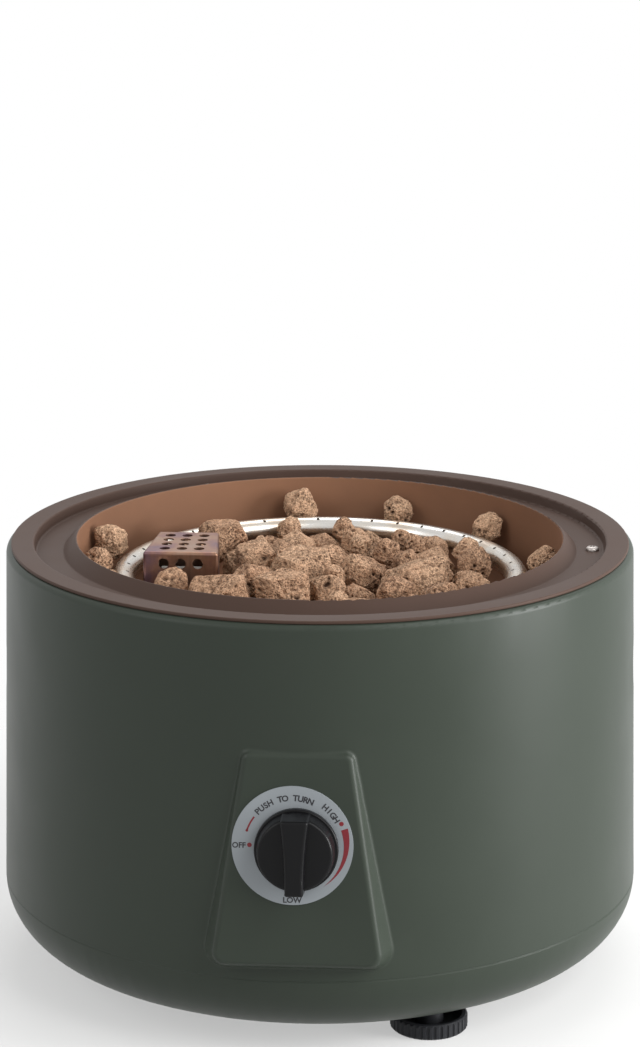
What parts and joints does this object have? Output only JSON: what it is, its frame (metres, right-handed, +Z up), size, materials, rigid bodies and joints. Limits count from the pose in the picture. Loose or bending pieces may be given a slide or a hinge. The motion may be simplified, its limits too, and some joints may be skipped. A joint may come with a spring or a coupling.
{
  "type": "fire pit",
  "caption": "Round tabletop gas fire pit: painted drum on levelling feet, push-and-turn control on a tilted pad, and a ring burner with lava rock in a rimmed bowl.",
  "frame": {"origin": "on the floor under the drum's axis, at the middle of the footprint from the knob's front to the inlet's end", "axes": "+Z up the drum's axis; the control pad and knob face -Y and the gas inlet points along +Y"},
  "size_m": [0.4114, 0.4752, 0.2791],
  "materials": {
    "green_paint": "satin",
    "bowl_enamel": "satin",
    "bright_steel": "polished",
    "zinc_steel": "zinc plated",
    "stainless": "satin, heat tinted",
    "cast_alloy": "cast",
    "brass": "machined",
    "copper": "drawn copper",
    "white_ceramic": "unglazed",
    "lead_rubber": "matte",
    "dial_print": "printed, satin",
    "knob_black": "moulded, satin",
    "dark_plastic": "moulded, matte",
    "pipe_aluminium": "drawn",
    "lava": "porous, matte"
  },
  "bodies": {
    "housing": {"drum_shell": "green_paint", "base_pan": "green_paint", "fire_bowl": "bowl_enamel", "rim_screws": "bright_steel", "rim_nuts": "zinc_steel", "bowl_brackets": "zinc_steel", "burner_ring": "stainless", "burner_tee": "stainless", "burner_supports": "stainless", "burner_locknut": "zinc_steel", "venturi_tube": "cast_alloy", "gas_jet": "brass", "igniter_hood": "stainless", "electrode_bracket": "stainless", "spark_insulator": "white_ceramic", "spark_rod": "stainless", "thermocouple": "copper", "ignition_lead": "lead_rubber", "thermocouple_lead": "copper", "dial_plate": "dial_print", "valve_screws": "bright_steel", "valve_bonnet": "cast_alloy", "valve_body": "cast_alloy", "piezo_unit": "dark_plastic", "inlet_fitting": "brass", "inlet_locknut": "brass", "inlet_pipe": "pipe_aluminium", "outlet_pipe": "pipe_aluminium", "pipe_nuts": "brass", "foot_bushes": "zinc_steel", "lava_rocks": "lava"},
    "plug": {"valve_plug": "brass", "return_spring": "zinc_steel"},
    "control": {"valve_stem": "zinc_steel", "knob": "knob_black"},
    "stud_1": {"foot_stud_1": "zinc_steel"},
    "stud_2": {"foot_stud_2": "zinc_steel"},
    "stud_3": {"foot_stud_3": "zinc_steel"},
    "pad_1": {"foot_pad_1": "dark_plastic"},
    "pad_2": {"foot_pad_2": "dark_plastic"},
    "pad_3": {"foot_pad_3": "dark_plastic"}
  },
  "joints": [
    {"name": "knob_turn", "type": "hinge", "parent": "housing", "child": "plug", "pos_m": [0, -0.2088, 0.144], "axis": [0, -0.9954, 0.0958], "range_deg": [0, 270]},
    {"name": "knob_push", "type": "slide", "parent": "plug", "child": "control", "axis": [0, 0.9954, -0.0958], "range_m": [0, 0.003], "stiffness_N_per_m": 900, "springref_m": -0.004, "deforming": ["return_spring"]},
    {"name": "foot_1_height", "type": "slide", "parent": "housing", "child": "stud_1", "axis": [0, 0, -1], "range_m": [0, 0.008]},
    {"name": "foot_1_turn", "type": "hinge", "parent": "stud_1", "child": "pad_1", "pos_m": [0.076, -0.13164, 0], "axis": [0, 0, -1], "range_deg": [0, 2300]},
    {"name": "foot_2_height", "type": "slide", "parent": "housing", "child": "stud_2", "axis": [0, 0, -1], "range_m": [0, 0.008]},
    {"name": "foot_2_turn", "type": "hinge", "parent": "stud_2", "child": "pad_2", "pos_m": [0.076, 0.13164, 0], "axis": [0, 0, -1], "range_deg": [0, 2300]},
    {"name": "foot_3_height", "type": "slide", "parent": "housing", "child": "stud_3", "axis": [0, 0, -1], "range_m": [0, 0.008]},
    {"name": "foot_3_turn", "type": "hinge", "parent": "stud_3", "child": "pad_3", "pos_m": [-0.152, 0, 0], "axis": [0, 0, -1], "range_deg": [0, 2300]}
  ],
  "couplings": [
    {"joint": "foot_1_height", "follows": "foot_1_turn", "m_per_rad": 0.00019894},
    {"joint": "foot_2_height", "follows": "foot_2_turn", "m_per_rad": 0.00019894},
    {"joint": "foot_3_height", "follows": "foot_3_turn", "m_per_rad": 0.00019894}
  ]
}
